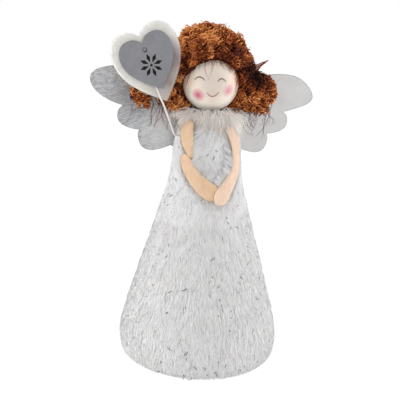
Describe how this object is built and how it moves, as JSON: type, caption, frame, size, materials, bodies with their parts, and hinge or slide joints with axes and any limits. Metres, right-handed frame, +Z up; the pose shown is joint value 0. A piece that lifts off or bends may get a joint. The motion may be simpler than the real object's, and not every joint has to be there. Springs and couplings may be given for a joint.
{
  "type": "angel tree topper",
  "caption": "Standing angel with a hollow cone body in long fur, a wooden ball head, curly yarn hair, felt arms, silver wings and a felt heart on a wire; it stands or sits on a tree's tip.",
  "frame": {"origin": "on the axis of the cone, at the height of the hem that the figure stands on", "axes": "+Z up along the cone's axis towards the head, -Y towards the side that the face looks to, +X towards the side away from the heart"},
  "size_m": [0.1726, 0.118, 0.242],
  "materials": {
    "card": "plain rolled card",
    "wood": "bare",
    "white_fur": "long-pile fur with silver threads",
    "beige_fur": "short-pile fur",
    "painted_wood": "satin skin-tone paint, printed face",
    "peach_felt": "soft felt",
    "silver_cloth": "silver metallic cloth",
    "white_felt": "thick pressed felt",
    "white_wire": "white covering",
    "grey_wood": "matt grey paint with a cut star",
    "yarn": "curled boucle yarn"
  },
  "bodies": {
    "root": {"card_cone": "card", "neck_plug": "wood", "neck_peg": "wood", "fur_skirt": "white_fur", "fur_bodice": "white_fur", "fur_collar": "beige_fur", "head_ball": "painted_wood", "arm_left": "peach_felt", "arm_right": "peach_felt", "wing_cover_left": "silver_cloth", "wing_cover_right": "silver_cloth", "wing_backing": "white_felt", "heart_wire": "white_wire", "heart_felt": "white_felt", "heart_plate": "grey_wood", "hair_crown": "yarn", "hair_left": "yarn", "hair_right": "yarn", "hair_back": "yarn"}
  },
  "joints": []
}
